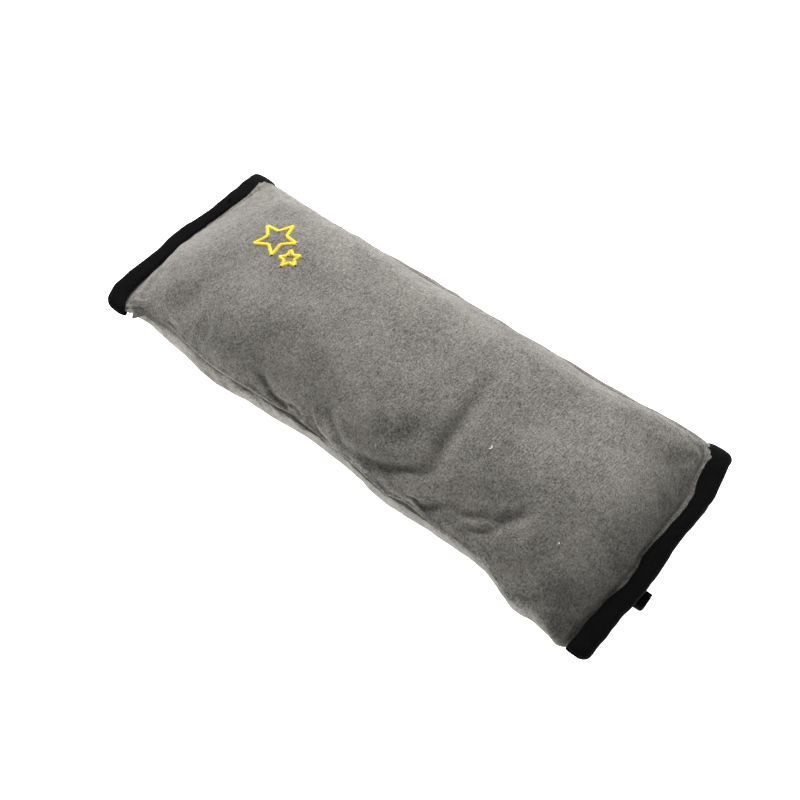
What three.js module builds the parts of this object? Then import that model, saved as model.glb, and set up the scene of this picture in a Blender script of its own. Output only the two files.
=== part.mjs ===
// Seat belt shoulder pad: a stuffed plush pad with a belt sleeve under it, lying face up.
// Millimetres, +Z up, table at z = 0, X along the pad, Y across it.
// The closing flap is sewn into the far (+Y) long seam, folds under the pad and closes on the
// back panel with hook and loop strips. One tape binds each end of the pad and of its flap.
import * as THREE from 'three';

// Pad outline
const padLength = 290;          // over both bound ends, at mid-width
const leftEndWidth = 109;       // over the tape
const rightEndWidth = 120;
const endBow = 1.8;             // the corners lie this much short of the middle of an end
const farLeftDraw = 3.4;        // the far left corner is drawn in further
const nearRightDraw = 2;        // and so is the near right one
const bodyWidth = 100;          // of the stuffed body at mid-length
const farSlack = 2;             // the far side is drawn in this much
const slackStart = 72;          // and comes out again over this stretch
const slackEnd = 116;
const nearFullness = 0.8;       // the near side stands out this much
const bulges = [                // and fills out further here
  { x: -68, out: 3.4, reach: 22 },
  { x: 32, out: 2.6, reach: 22 },
  { x: 118, out: 7, reach: 20 },
];

// How the stuffing thins out towards the ends
const fullness = 3.2;           // the higher, the longer it stays full
const taper = 0.8;              // the lower, the blunter it ends

// Heights
const flapThickness = 3.2;
const sleeveHeight = 6;         // free height for the belt between flap and back panel
const bellyDepth = 12.2;        // back panel below the long seams, at mid-length
const crownRise = 21;           // front panel above the long seams, at mid-length
const endHeight = 14;           // middle of a bound end above the table
const leftBelly = 3.4;          // the back panel swells out this far under the near seam
const rightBelly = 0.4;
const bellyChange = -58;        // from here to mid-length the one passes into the other

// Cloth, tape and clearances
const plushThickness = 1.8;
const panelTongue = 1;          // each panel where it is pressed inside the tape
const seamGap = 0.3;            // clearance between pieces that touch
const tapeThickness = 1.5;
const flapTapeThickness = 0.7;
const tapeWidth = 9;
const tapeDepth = 6;            // how far the cloth reaches into the tape
const earLength = 4;            // tape past the cloth at each corner
const cornerNotch = 2;          // the far corners of the panels draw in beside the tape
const notchRun = 8;
const fillingInset = 10;        // from the mouth of a tape to the filling
const fillingEdge = 0.1;        // thickness of the filling at the long seams
const slotGap = 0.45;           // clearance of the cloth inside the tape

// Closing flap and its strips
const flapFreeEdge = -23.5;     // Y of the free long edge, over its own tape
const edgeTapeTail = 2.4;       // that tape stands out past the flap at the right end
const flapSeamThickness = 1.6;  // the flap where it is caught in the long seam
const flapSeamLift = 2.4;       // the flap leaves the seam slightly upwards
const flapRoll = 4.2;           // how far the fold's control points stand out past the seam
const tapeRoll = 4.8;           // the same where the tape holds the fold
const flapTurn = 6;             // the flap lies flat up to this far inside the far edge
const sagClearance = 1.5;       // from the flap's free edge to the start of the sag
const sagRun = 9;               // width over which the back panel sags to the table
const flatShare = 0.45;         // of the back panel's far half, measured from the middle
const stripWidth = 18;
const stripLength = 220;
const stripInset = 1;           // from the flap's free edge
const hookThickness = 2.5;
const loopThickness = 2.6;

// Raised stitching on the front panel
const stitchHeight = 1;
const stitchWidth = 1.7;
const motifX = -81;             // middle of the two stars
const motifY = 9.5;
const largeRadius = 11;
const smallRadius = largeRadius / 2;
const starSpacing = largeRadius + smallRadius;
const starLine = -25;           // the small star lies this way from the large one, in degrees
const starWaist = 0.45;         // inner to outer radius of a star

// Folds pressed into the front panel. Each runs from one [x, angle] to another, where the angle
// goes round the section from 0 at the far seam, over 90 at the crown, to 180 at the near seam.
const valleyBend = [43, 144];
const valleyTop = [41, 108];
const creaseBend = [63, 150];
const folds = [
  { from: [18, 172], to: valleyBend, depth: 2.6, width: 7 },
  { from: valleyBend, to: valleyTop, depth: 2.4, width: 6.5 },
  { from: valleyTop, to: [40, 78], depth: 1.2, width: 7 },
  { from: [48, 178], to: creaseBend, depth: 2.2, width: 6 },
  { from: creaseBend, to: [86, 125], depth: 2.2, width: 6 },
  { from: [74, 160], to: [86, 128], depth: 1.6, width: 6 },
  { from: [-18, 145], to: [-8, 174], depth: 2.4, width: 6 },
  { from: [-8, 143], to: [2, 172], depth: -1, width: 5 },
  { from: [-46, 154], to: [-22, 178], depth: 2.2, width: 7 },
  { from: [78, 158], to: [94, 172], depth: -1.6, width: 6 },
  { from: [100, 160], to: [104, 128], depth: 1.6, width: 8 },
  { from: [-112, 172], to: [-92, 120], depth: 1.4, width: 8 },
];

// Mesh fineness
const stationCount = 28;
const sectionPoints = 17;
const flapSteps = [0, 0.06, 0.13, 0.25, 0.4, 0.55, 0.7, 0.82, 0.92];   // round the fold
const tapeSteps = 8;            // along the straight of an end tape
const tapeTurns = 8;            // round its fold

// Sizes that follow from the ones above
const half = padLength / 2;
const mouth = half - tapeWidth;
const tongueEnd = mouth + tapeDepth;
const flapMid = flapThickness / 2;
const sleeveCeiling = flapThickness + sleeveHeight;
const seamHeight = sleeveCeiling + bellyDepth;
const halfGap = seamGap / 2;
const lip = mouth - seamGap;    // the cloth is pressed flat from here outwards
const flapSeamEnd = lip - 3 * seamGap;
const sagInner = flapFreeEdge - sagClearance;
const sagOuter = sagInner - sagRun;
const padSlot = panelTongue + halfGap + slotGap;
const flapTongue = flapThickness - 2 * (flapTapeThickness + slotGap);
const flapSlot = flapTongue / 2 + slotGap;
const endTapeHalf = padSlot + tapeThickness;
const flapTapeStart = flapFreeEdge + tapeWidth;

const { clamp, lerp, smoothstep, degToRad } = THREE.MathUtils;

// Stuffing under the front panel, 1 at mid-length and 0 where the cloth enters each tape
function stuffing(x) {
  const s = clamp(Math.abs(x) / lip, 0, 1);
  return (1 - s ** fullness) ** taper;
}

// Stuffing over the back panel, which stays flat for longer
function underStuffing(x) {
  const s = clamp(Math.abs(x) / lip, 0, 1);
  return (1 - s ** 8) ** 0.5;
}

function inTape(x) {
  return Math.abs(x) >= lip;
}

// Half the width of the flat cloth, without the ears of the tape
function flatHalf(x) {
  return lerp(leftEndWidth, rightEndWidth, (x / half + 1) / 2) / 2 - earLength;
}

const squeeze = flatHalf(0) - bodyWidth / 2;   // the stuffing draws in each long edge this much

function longEdge(x) {
  return flatHalf(x) - squeeze * stuffing(x);
}

function farEdge(x) {
  return longEdge(x) - farSlack * stuffing(x) * (1 - smoothstep(x, slackStart, slackEnd));
}

// At the far side the panels draw in beside the tape, and stop short of the fold inside it
function farHalf(x) {
  const notch = cornerNotch * smoothstep(Math.abs(x), flapSeamEnd - notchRun, flapSeamEnd);
  return inTape(x) ? flatHalf(x) - flapTurn - seamGap : farEdge(x) - notch;
}

function nearHalf(x) {
  let out = nearFullness;
  for (const bulge of bulges) {
    out += bulge.out * Math.exp(-(((x - bulge.x) / bulge.reach) ** 2));
  }
  return longEdge(x) + out * stuffing(x) ** 0.5;
}

function bellySwell(x) {
  return lerp(leftBelly, rightBelly, smoothstep(x, bellyChange, 0)) * stuffing(x) ** 0.5;
}

function seamZ(x) {
  return lerp(endHeight, seamHeight, stuffing(x));
}

// Half the opening of the long seam: the far seam also holds the edge of the flap
function seamOpening(x, across) {
  const caught = Math.abs(x) < lip ? smoothstep(across, 0.5, 1) : 0;
  return halfGap + caught * (flapSeamThickness / 2 + seamGap);
}

function foldDepth(x, angle) {
  const arc = 0.8;              // length of one degree round the section
  let depth = 0;
  for (const fold of folds) {
    const [x0, a0] = fold.from;
    const [x1, a1] = fold.to;
    const run = [x1 - x0, (a1 - a0) * arc];
    const offset = [x - x0, (angle - a0) * arc];
    const length2 = run[0] ** 2 + run[1] ** 2;
    const t = clamp((offset[0] * run[0] + offset[1] * run[1]) / length2, 0, 1);
    const away = Math.hypot(offset[0] - t * run[0], offset[1] - t * run[1]);
    depth += fold.depth * Math.exp(-((away / fold.width) ** 2));
  }
  return depth * stuffing(x);
}

// A point of the front panel, inset by some thickness from its outer face
function frontPoint(x, angle, inset) {
  const c = Math.cos(degToRad(angle));
  const s = Math.sin(degToRad(angle));
  const edge = (c > 0 ? farHalf(x) : nearHalf(x)) - inset;
  const base = seamZ(x) + seamOpening(x, c);
  const thick = inTape(x) ? panelTongue : lerp(plushThickness, crownRise, stuffing(x));
  const sink = inTape(x) ? 0 : foldDepth(x, angle);
  const y = edge * Math.sign(c) * Math.abs(c) ** 0.85 - sink * c;
  return [x, y, base + Math.max(0, thick - inset) * s - sink * s];
}

// Distances across the back panel, from the far seam to the near one
function backWidths(x) {
  const far = farHalf(x);
  const near = nearHalf(x);
  const flat = far * flatShare;
  return [
    far, far - 0.5, lerp(far, flat, 0.1), lerp(far, flat, 0.3), lerp(far, flat, 0.6), flat, 0,
    sagInner * 0.5, sagInner, lerp(sagInner, sagOuter, 0.5), sagOuter,
    lerp(sagOuter, -near, 0.35), lerp(sagOuter, -near, 0.65), lerp(sagOuter, -near, 0.87),
    0.5 - near, 0.05 - near, -near,
  ];
}

// A point of the back panel: flat over the belt, sagging to the table beside the flap, and
// swelling out between the table and the near seam. An inset face draws in towards the seams.
function backPoint(x, y, inset) {
  const edge = y > 0 ? farHalf(x) : nearHalf(x);
  const across = Math.abs(y) / edge;
  const base = seamZ(x) - seamOpening(x, y / edge);
  const floor = lerp(0, sleeveCeiling, smoothstep(y, sagOuter, sagInner));
  const wall = inTape(x) ? panelTongue : plushThickness;
  const drop = 1.12 * (wall + (base - floor - wall) * underStuffing(x));
  const round = y > 0 ? [4, 1 / 2.4] : [6, 1 / 3];
  const profile = Math.max(0, 1 - across ** round[0]) ** round[1];
  const depth = inTape(x) ? panelTongue * profile : Math.min(base - floor, drop * profile);
  const z = Math.min(base, base - depth + inset);
  const hang = (base - z) / (base - floor);
  const swell = y < sagOuter ? bellySwell(x) * Math.sin(Math.PI * hang) : 0;
  const level = y > 0 ? edge * flatShare : -sagOuter;
  const drawIn = inset * clamp((Math.abs(y) - level) / (edge - level), 0, 1);
  return [x, y - Math.sign(y) * drawIn - swell, z];
}

// Centre line of the flap at x, from the far seam round the fold to the free edge, with its
// half thickness. Towards the tape it leaves the seam, and starts lower, clear of the panels.
function flapLine(x) {
  const reach = Math.abs(x);
  const caught = reach < flapSeamEnd + halfGap;
  const edge = caught ? farEdge(x) : flatHalf(x);
  const high = caught ? seamZ(x) : endHeight;
  const start = caught ? edge - plushThickness + seamGap : edge - flapTurn;
  const roll = caught ? flapRoll : tapeRoll;
  const lift = caught ? flapSeamLift : 0;
  const curve = new THREE.CubicBezierCurve(
    new THREE.Vector2(start, high),
    new THREE.Vector2(edge + roll, high + lift),
    new THREE.Vector2(edge + roll, flapMid),
    new THREE.Vector2(edge - flapTurn, flapMid),
  );
  const full = inTape(x) ? flapTongue / 2 : flapMid;
  const thin = Math.min(full, flapSeamThickness / 2);
  const seamStart = reach < flapSeamEnd - halfGap ? 0 : 0.25;
  const first = caught ? seamStart : 0.45;
  const line = [];
  for (const t of flapSteps) {
    const u = lerp(first, 1, t);
    const point = curve.getPoint(u);
    const along = curve.getTangent(u);
    const thick = lerp(thin, full, caught ? smoothstep(u, 0.12, 0.4) : 1);
    line.push({ y: point.x, z: point.y, ny: along.y, nz: -along.x, thick });
  }
  const flat = (y, thick) => line.push({ y, z: flapMid, ny: 0, nz: 1, thick });
  flat(edge - flapTurn, full);
  flat((edge - flapTurn + flapTapeStart) / 2, full);
  flat(flapTapeStart + 2 * seamGap, full);
  flat(flapTapeStart + seamGap, flapTongue / 2);
  flat(flapTapeStart - tapeDepth, flapTongue / 2);
  return line;
}

// Everything is laid out with straight ends. This bows the ends of the pad and draws two corners
// in, while the flap's ends stay straight, in line with the far corners.
function lay(x, y, z, onFlap = false) {
  const edge = flatHalf(x);
  const reach = onFlap ? Math.max(y, edge - flapTurn) : y;
  const corner = x < 0
    ? farLeftDraw * smoothstep(reach, -edge / 4, edge / 2)
    : nearRightDraw * smoothstep(-reach, edge / 5, edge);
  const drawn = endBow * (reach / (edge + earLength)) ** 2 + corner;
  return new THREE.Vector3(x - Math.sign(x) * drawn * smoothstep(Math.abs(x), half / 2, half), y, z);
}

// Positions along the pad, closer together towards the ends
function stationsTo(end) {
  const list = [];
  for (let i = 0; i <= stationCount; i += 1) {
    const t = (2 * i) / stationCount - 1;
    list.push(end * (0.66 * t + 0.34 * Math.sin((t * Math.PI) / 2)));
  }
  return list;
}

const clothStations = [
  -tongueEnd,
  -lip,
  -lip + seamGap,
  -flapSeamEnd - seamGap,
  -flapSeamEnd,
  ...stationsTo(flapSeamEnd - seamGap),
  flapSeamEnd,
  flapSeamEnd + seamGap,
  lip - seamGap,
  lip,
  tongueEnd,
];

// One closed body between two grids of points, each a list of rows of equal length
function solidBetween(top, bottom, closedLoop = false) {
  const rows = top.length;
  const columns = top[0].length;
  const positions = [...top, ...bottom].flat().flatMap((point) => point.toArray());
  const faces = [];
  const at = (side, row, column) => (side * rows + (row % rows)) * columns + column;
  const quad = (a, b, c, d) => faces.push(a, b, c, a, c, d);
  const lastRow = closedLoop ? rows : rows - 1;
  for (let i = 0; i < lastRow; i += 1) {
    for (let j = 0; j < columns - 1; j += 1) {
      quad(at(0, i, j), at(0, i + 1, j), at(0, i + 1, j + 1), at(0, i, j + 1));
      quad(at(1, i, j), at(1, i, j + 1), at(1, i + 1, j + 1), at(1, i + 1, j));
    }
    const k = columns - 1;
    quad(at(0, i, 0), at(1, i, 0), at(1, i + 1, 0), at(0, i + 1, 0));
    quad(at(0, i, k), at(0, i + 1, k), at(1, i + 1, k), at(1, i, k));
  }
  if (!closedLoop) {
    for (let j = 0; j < columns - 1; j += 1) {
      quad(at(1, 0, j), at(0, 0, j), at(0, 0, j + 1), at(1, 0, j + 1));
      const r = rows - 1;
      quad(at(1, r, j), at(1, r, j + 1), at(0, r, j + 1), at(0, r, j));
    }
  }
  const geometry = new THREE.BufferGeometry();
  geometry.setAttribute('position', new THREE.Float32BufferAttribute(positions, 3));
  geometry.setIndex(signedVolume(positions, faces) < 0 ? faces.reverse() : faces);
  geometry.computeVertexNormals();
  return geometry;
}

function signedVolume(positions, faces) {
  const corner = (index) => new THREE.Vector3().fromArray(positions, index * 3);
  let volume = 0;
  for (let i = 0; i < faces.length; i += 3) {
    const [a, b, c] = [corner(faces[i]), corner(faces[i + 1]), corner(faces[i + 2])];
    volume += a.dot(b.cross(c)) / 6;
  }
  return volume;
}

const angles = Array.from({ length: sectionPoints }, (_, i) => (180 * i) / (sectionPoints - 1));

function frontPanel() {
  const face = (inset) => clothStations.map((x) => {
    const wall = inTape(x) ? Math.min(inset, panelTongue) : inset;
    return angles.map((angle) => lay(...frontPoint(x, angle, wall)));
  });
  return solidBetween(face(0), face(plushThickness));
}

function backPanel() {
  const face = (inset) => clothStations.map((x) => {
    const wall = inTape(x) ? Math.min(inset, panelTongue) : inset;
    return backWidths(x).map((y) => lay(...backPoint(x, y, wall)));
  });
  return solidBetween(face(0), face(plushThickness));
}

// Loose fibre filling, clear of the panels all round
function filling() {
  const inset = plushThickness + 3 * seamGap;
  const inside = clothStations.filter((x) => Math.abs(x) < mouth - fillingInset);
  const top = inside.map((x) => angles.map((angle) => {
    const [px, y, z] = frontPoint(x, angle, inset);
    return lay(px, y, Math.max(z, seamZ(x) + fillingEdge / 2));
  }));
  const bottom = inside.map((x) => backWidths(x).map((y) => {
    const [px, py, z] = backPoint(x, y, inset);
    return lay(px, py, Math.min(z, seamZ(x) - fillingEdge / 2));
  }));
  return solidBetween(top, bottom);
}

function closingFlap() {
  const face = (side) => clothStations.map((x) => flapLine(x).map((p) => (
    lay(x, p.y + side * p.thick * p.ny, p.z + side * p.thick * p.nz, true)
  )));
  return solidBetween(face(1), face(-1));
}

// Path of the tape at one end: across the pad, round the far corner and back along the flap
function tapeLine(side) {
  const edge = flatHalf(side * half);
  const flatEnd = edge - flapTurn;
  const line = [];
  const tip = (y, scale) => ({ y, z: endHeight, ny: 0, nz: 1, thick: endTapeHalf, slot: padSlot, scale });
  line.push(tip(-edge - earLength, 0.45), tip(-edge - 0.75 * earLength, 0.8));
  line.push(tip(-edge - 0.35 * earLength, 0.96));
  for (let i = 0; i <= tapeSteps; i += 1) {
    line.push(tip(lerp(-edge, flatEnd, i / tapeSteps), 1));
  }
  const curve = new THREE.CubicBezierCurve(
    new THREE.Vector2(flatEnd, endHeight),
    new THREE.Vector2(edge + tapeRoll, endHeight),
    new THREE.Vector2(edge + tapeRoll, flapMid),
    new THREE.Vector2(flatEnd, flapMid),
  );
  for (let i = 1; i < tapeTurns; i += 1) {
    const t = i / tapeTurns;
    const point = curve.getPoint(t);
    const along = curve.getTangent(t);
    const thick = lerp(endTapeHalf, flapMid, t);
    const slot = lerp(padSlot, flapSlot, t);
    line.push({ y: point.x, z: point.y, ny: -along.y, nz: along.x, thick, slot, scale: 1 });
  }
  const flapTip = (y, scale) => (
    { y, z: flapMid, ny: 0, nz: -1, thick: flapMid, slot: flapSlot, scale, onFlap: true }
  );
  for (let i = 0; i <= 3; i += 1) {
    line.push(flapTip(lerp(flatEnd, flapTapeStart + seamGap, i / 3), 1));
  }
  return line;
}

// Folded tape round the cloth: an outer face with a rounded nose, and the slot for the cloth
function tapeSection(side, p) {
  const slotEnd = tongueEnd + seamGap;
  const thick = p.thick * p.scale;
  const slot = p.slot * p.scale;
  const nose = half - (1 - p.scale) * tapeWidth / 2;
  const outer = [[mouth, thick]];
  const inner = [[mouth, slot]];
  for (let i = 0; i <= 6; i += 1) {
    const turn = Math.PI / 2 - (Math.PI * i) / 6;
    outer.push([nose - thick + thick * Math.cos(turn), thick * Math.sin(turn)]);
    inner.push([Math.min(slotEnd, nose - thick * 0.8), slot * (1 - i / 3)]);
  }
  outer.push([mouth, -thick]);
  inner.push([mouth, -slot]);
  const set = ([along, out]) => lay(side * along, p.y + out * p.ny, p.z + out * p.nz, p.onFlap);
  return { outer: outer.map(set), inner: inner.map(set) };
}

function endTape(side) {
  const sections = tapeLine(side).map((p) => tapeSection(side, p));
  return solidBetween(sections.map((s) => s.outer), sections.map((s) => s.inner));
}

// Tape round the free long edge of the flap, with its tail standing out at the right end
function flapEdgeTape() {
  const leftEnd = lay(-half, 0, flapMid, true).x;
  const rightEnd = lay(half, 0, flapMid, true).x + edgeTapeTail;
  const round = [];
  for (let i = 0; i <= 4; i += 1) {
    const turn = (Math.PI / 2) * (i / 4);
    round.push({ back: flapMid * (1 - Math.cos(turn)), scale: 0.4 + 0.6 * Math.sin(turn) });
  }
  const sections = [
    ...round.map(({ back, scale }) => ({ x: leftEnd + back, scale })),
    ...[0.25, 0.5, 0.75].map((t) => ({ x: lerp(leftEnd, rightEnd, t), scale: 1 })),
    ...round.reverse().map(({ back, scale }) => ({ x: rightEnd - back, scale })),
  ];
  const rows = sections.map(({ x, scale }) => {
    const thick = flapMid * (0.7 + 0.3 * scale);
    const slot = flapSlot;
    const outer = [[flapTapeStart, thick]];
    const inner = [[flapTapeStart, slot]];
    for (let i = 0; i <= 6; i += 1) {
      const turn = Math.PI / 2 - (Math.PI * i) / 6;
      const nose = flapFreeEdge + flapMid * 2 * (1 - scale);
      outer.push([nose + thick - thick * Math.cos(turn), thick * Math.sin(turn)]);
      inner.push([flapTapeStart - tapeDepth - seamGap, slot * (1 - i / 3)]);
    }
    outer.push([flapTapeStart, -thick]);
    inner.push([flapTapeStart, -slot]);
    const set = ([y, up]) => new THREE.Vector3(x, y, flapMid + up);
    return { outer: outer.map(set), inner: inner.map(set) };
  });
  return solidBetween(rows.map((row) => row.outer), rows.map((row) => row.inner));
}

// A flat strip between two heights, along the flap's free edge
function strip(bottom, thickness) {
  const geometry = new THREE.BoxGeometry(stripLength, stripWidth, thickness);
  const middle = flapFreeEdge + stripInset + stripWidth / 2;
  return geometry.translate(0, middle, bottom + thickness / 2);
}

// Height of the front panel's outer face over a point of the plan
function frontHeight(x, y) {
  const edge = y > 0 ? farHalf(x) : nearHalf(x);
  const c = Math.sign(y) * Math.min(1, Math.abs(y) / edge) ** (1 / 0.85);
  const angle = THREE.MathUtils.radToDeg(Math.acos(c));
  return frontPoint(x, angle, 0)[2];
}

// Satin-stitched outline of a five-pointed star, lying on the front panel. Its middle lies
// along the line of the two stars, this far from the middle of the motif.
function starStitching(along, radius, firstPoint) {
  const middleX = motifX + along * Math.cos(degToRad(starLine));
  const middleY = motifY + along * Math.sin(degToRad(starLine));
  const points = [];
  const corners = [];
  for (let i = 0; i < 10; i += 1) {
    const turn = degToRad(firstPoint + 36 * i);
    const reach = i % 2 === 0 ? radius : radius * starWaist;
    corners.push(new THREE.Vector2(reach * Math.cos(turn), reach * Math.sin(turn)));
  }
  corners.forEach((corner, i) => {
    const next = corners[(i + 1) % 10];
    const before = corners[(i + 9) % 10];
    const ahead = next.clone().sub(corner).normalize();
    const behind = corner.clone().sub(before).normalize();
    const middle = ahead.clone().add(behind).normalize();
    const mitre = 1 / Math.max(0.45, middle.dot(ahead));
    points.push({ at: corner, out: new THREE.Vector2(middle.y, -middle.x).multiplyScalar(mitre) });
    points.push({ at: corner.clone().lerp(next, 0.5), out: new THREE.Vector2(ahead.y, -ahead.x) });
  });
  const face = (heights) => points.map(({ at, out }) => heights.map((height, j) => {
    const shift = (j - 1) * stitchWidth / 2;
    const x = middleX + at.x + out.x * shift;
    const y = middleY + at.y + out.y * shift;
    return lay(x, y, frontHeight(x, y) + seamGap + height);
  }));
  const low = stitchHeight * 0.4;
  return solidBetween(face([low, stitchHeight, low]), face([0, 0, 0]), true);
}

const plush = { color: 0x8f8b84, roughness: 0.95, metalness: 0 };
const tape = { color: 0x121417, roughness: 0.85, metalness: 0 };
const strips = { color: 0x1c1d1f, roughness: 0.9, metalness: 0 };
const fibre = { color: 0xf1efe9, roughness: 1, metalness: 0 };
const thread = { color: 0xf4d82c, roughness: 0.5, metalness: 0 };

const pad = new THREE.Group();

function add(name, geometry, material) {
  const mesh = new THREE.Mesh(geometry, new THREE.MeshStandardMaterial(material));
  mesh.name = name;
  pad.add(mesh);
}

add('front_panel', frontPanel(), plush);
add('back_panel', backPanel(), plush);
add('filling', filling(), fibre);
add('closing_flap', closingFlap(), plush);
add('loop_strip', strip(sleeveCeiling - seamGap - loopThickness, loopThickness), strips);
add('hook_strip', strip(flapThickness + seamGap, hookThickness), strips);
add('left_end_tape', endTape(-1), tape);
add('right_end_tape', endTape(1), tape);
add('flap_edge_tape', flapEdgeTape(), tape);
add('large_star_stitching', starStitching(-starSpacing / 3, largeRadius, 12), thread);
add('small_star_stitching', starStitching((starSpacing * 2) / 3, smallRadius, -20), thread);

// The origin is under the middle of the whole pad
const extent = new THREE.Box3().setFromObject(pad);
const middle = extent.getCenter(new THREE.Vector3());
pad.position.set(-middle.x, -middle.y, -extent.min.z);

export default pad;
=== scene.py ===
# Seat belt shoulder pad: the looks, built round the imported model. Metres, +Z up, table at z = 0.
# X runs along the pad, Y across it. The closing flap is sewn into the far (+Y) long seam and
# lies folded under the pad, with the belt's sleeve between the two.
import math
import random

import bmesh
import bpy
import numpy as np
from mathutils import Matrix, Vector, noise
from mathutils.bvhtree import BVHTree


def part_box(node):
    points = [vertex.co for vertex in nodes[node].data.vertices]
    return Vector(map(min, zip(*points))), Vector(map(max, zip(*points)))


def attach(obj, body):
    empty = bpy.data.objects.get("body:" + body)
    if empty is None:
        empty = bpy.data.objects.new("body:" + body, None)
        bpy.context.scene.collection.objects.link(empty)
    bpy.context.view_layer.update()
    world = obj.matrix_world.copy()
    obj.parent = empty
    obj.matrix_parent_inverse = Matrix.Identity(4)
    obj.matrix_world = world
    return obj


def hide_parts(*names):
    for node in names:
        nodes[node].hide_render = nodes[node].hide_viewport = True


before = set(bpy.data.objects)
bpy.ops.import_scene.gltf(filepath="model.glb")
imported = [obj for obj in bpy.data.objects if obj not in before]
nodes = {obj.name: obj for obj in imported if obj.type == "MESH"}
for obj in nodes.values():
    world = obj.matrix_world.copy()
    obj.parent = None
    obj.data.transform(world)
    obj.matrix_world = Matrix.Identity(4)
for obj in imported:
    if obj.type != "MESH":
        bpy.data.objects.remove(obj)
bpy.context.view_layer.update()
MM = 0.001

# The outer corners of both end tapes
left_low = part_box("left_end_tape")[0]
right_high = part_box("right_end_tape")[1]


# Small helpers

def smoothstep(value, low, high):
    t = min(1.0, max(0.0, (value - low) / (high - low)))
    return t * t * (3 - 2 * t)


def lerp(a, b, t):
    return a + (b - a) * t


def piece_from(name, bm, material, smooth=True):
    """A named object at the origin, made of a finished bmesh."""
    mesh = bpy.data.meshes.new(name)
    bm.to_mesh(mesh)
    bm.free()
    for face in mesh.polygons:
        face.use_smooth = smooth
    mesh.materials.append(material)
    piece = bpy.data.objects.new(name, mesh)
    bpy.context.scene.collection.objects.link(piece)
    return piece


def merged_copy(node):
    """A CAD node's mesh with its loose triangles joined up."""
    bm = bmesh.new()
    bm.from_mesh(nodes[node].data)
    bmesh.ops.remove_doubles(bm, verts=bm.verts, dist=0.002 * MM)
    return bm


def quads_from_triangles(bm):
    """Joins pairs of triangles that lie nearly flat to each other."""
    bmesh.ops.join_triangles(
        bm, faces=bm.faces, angle_face_threshold=math.radians(50),
        angle_shape_threshold=math.radians(60), cmp_seam=False, cmp_sharp=False,
        cmp_uvs=False, cmp_vcols=False, cmp_materials=False)


def applied(piece):
    """Applies every modifier of a piece to its mesh."""
    graph = bpy.context.evaluated_depsgraph_get()
    mesh = bpy.data.meshes.new_from_object(piece.evaluated_get(graph))
    piece.modifiers.clear()
    old = piece.data
    piece.data = mesh
    bpy.data.meshes.remove(old)
    return piece


def subdivided(piece, levels):
    """Rounds a piece by subdivision, and applies it."""
    rounding = piece.modifiers.new("rounding", "SUBSURF")
    rounding.levels = levels
    rounding.render_levels = levels
    return applied(piece)


# Shader helpers

def new_group(name, inputs, outputs):
    """A shader node group. Inputs are (name, kind, default) and outputs (name, kind)."""
    group = bpy.data.node_groups.new(name, "ShaderNodeTree")
    for socket, kind, value in inputs:
        made = group.interface.new_socket(socket, in_out="INPUT", socket_type=kind)
        made.default_value = value
    for socket, kind in outputs:
        group.interface.new_socket(socket, in_out="OUTPUT", socket_type=kind)
    return group, group.nodes.new("NodeGroupInput"), group.nodes.new("NodeGroupOutput")


def placed_noise(tree, coordinates, scale, detail=2.0, roughness=0.5, stretch=None):
    """A noise texture on the given coordinates. stretch makes its grains longer along Y."""
    if stretch:
        mapping = tree.nodes.new("ShaderNodeMapping")
        mapping.inputs["Scale"].default_value = (1, 1 / stretch, 1)
        tree.links.new(coordinates, mapping.inputs["Vector"])
        coordinates = mapping.outputs["Vector"]
    texture = tree.nodes.new("ShaderNodeTexNoise")
    texture.inputs["Scale"].default_value = scale
    texture.inputs["Detail"].default_value = detail
    texture.inputs["Roughness"].default_value = roughness
    tree.links.new(coordinates, texture.inputs["Vector"])
    return texture.outputs["Fac"]


def ranged(tree, value, low, high, to_low, to_high):
    """Maps a value between low and high to one between to_low and to_high."""
    node = tree.nodes.new("ShaderNodeMapRange")
    node.inputs["From Min"].default_value = low
    node.inputs["From Max"].default_value = high
    node.inputs["To Min"].default_value = to_low
    node.inputs["To Max"].default_value = to_high
    tree.links.new(value, node.inputs["Value"])
    return node.outputs["Result"]


def maths(tree, operation, a, b):
    """One sum on two sockets or numbers. A sine takes the first of them only."""
    node = tree.nodes.new("ShaderNodeMath")
    node.operation = operation
    for socket, value in zip(node.inputs, (a, b)):
        if isinstance(value, (int, float)):
            socket.default_value = value
        else:
            tree.links.new(value, socket)
    return node.outputs["Value"]


def scaled_colour(tree, colour, factor):
    """The colour times a factor that changes over the surface."""
    node = tree.nodes.new("ShaderNodeVectorMath")
    node.operation = "SCALE"
    tree.links.new(colour, node.inputs[0])
    tree.links.new(factor, node.inputs["Scale"])
    return node.outputs["Vector"]


def pile_group():
    """Short velour pile: how light each spot is, and its height."""
    group, given, out = new_group(
        "velour_pile",
        [("Vector", "NodeSocketVector", (0, 0, 0)), ("Patches", "NodeSocketFloat", 0.1),
         ("Grain", "NodeSocketFloat", 0.2)],
        [("Shade", "NodeSocketFloat"), ("Height", "NodeSocketFloat")])
    place = given.outputs["Vector"]
    patches = ranged(group, placed_noise(group, place, 42, 3), 0.3, 0.7, -1, 1)
    clumps = ranged(group, placed_noise(group, place, 300, 3, 0.65), 0.3, 0.7, -1, 1)
    grain = ranged(group, placed_noise(group, place, 1150, 3, 0.8), 0.32, 0.68, -1, 1)
    streaks = placed_noise(group, place, 1500, 1, stretch=5)
    streaks = ranged(group, streaks, 0.3, 0.7, -1, 1)
    wide = maths(group, "MULTIPLY", maths(group, "ADD", patches, clumps), given.outputs["Patches"])
    fine = maths(group, "ADD", grain, maths(group, "MULTIPLY", streaks, 0.25))
    fine = maths(group, "MULTIPLY", fine, given.outputs["Grain"])
    shade = maths(group, "ADD", maths(group, "ADD", wide, fine), 1.0)
    group.links.new(shade, out.inputs["Shade"])
    group.links.new(maths(group, "ADD", grain, streaks), out.inputs["Height"])
    return group


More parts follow.
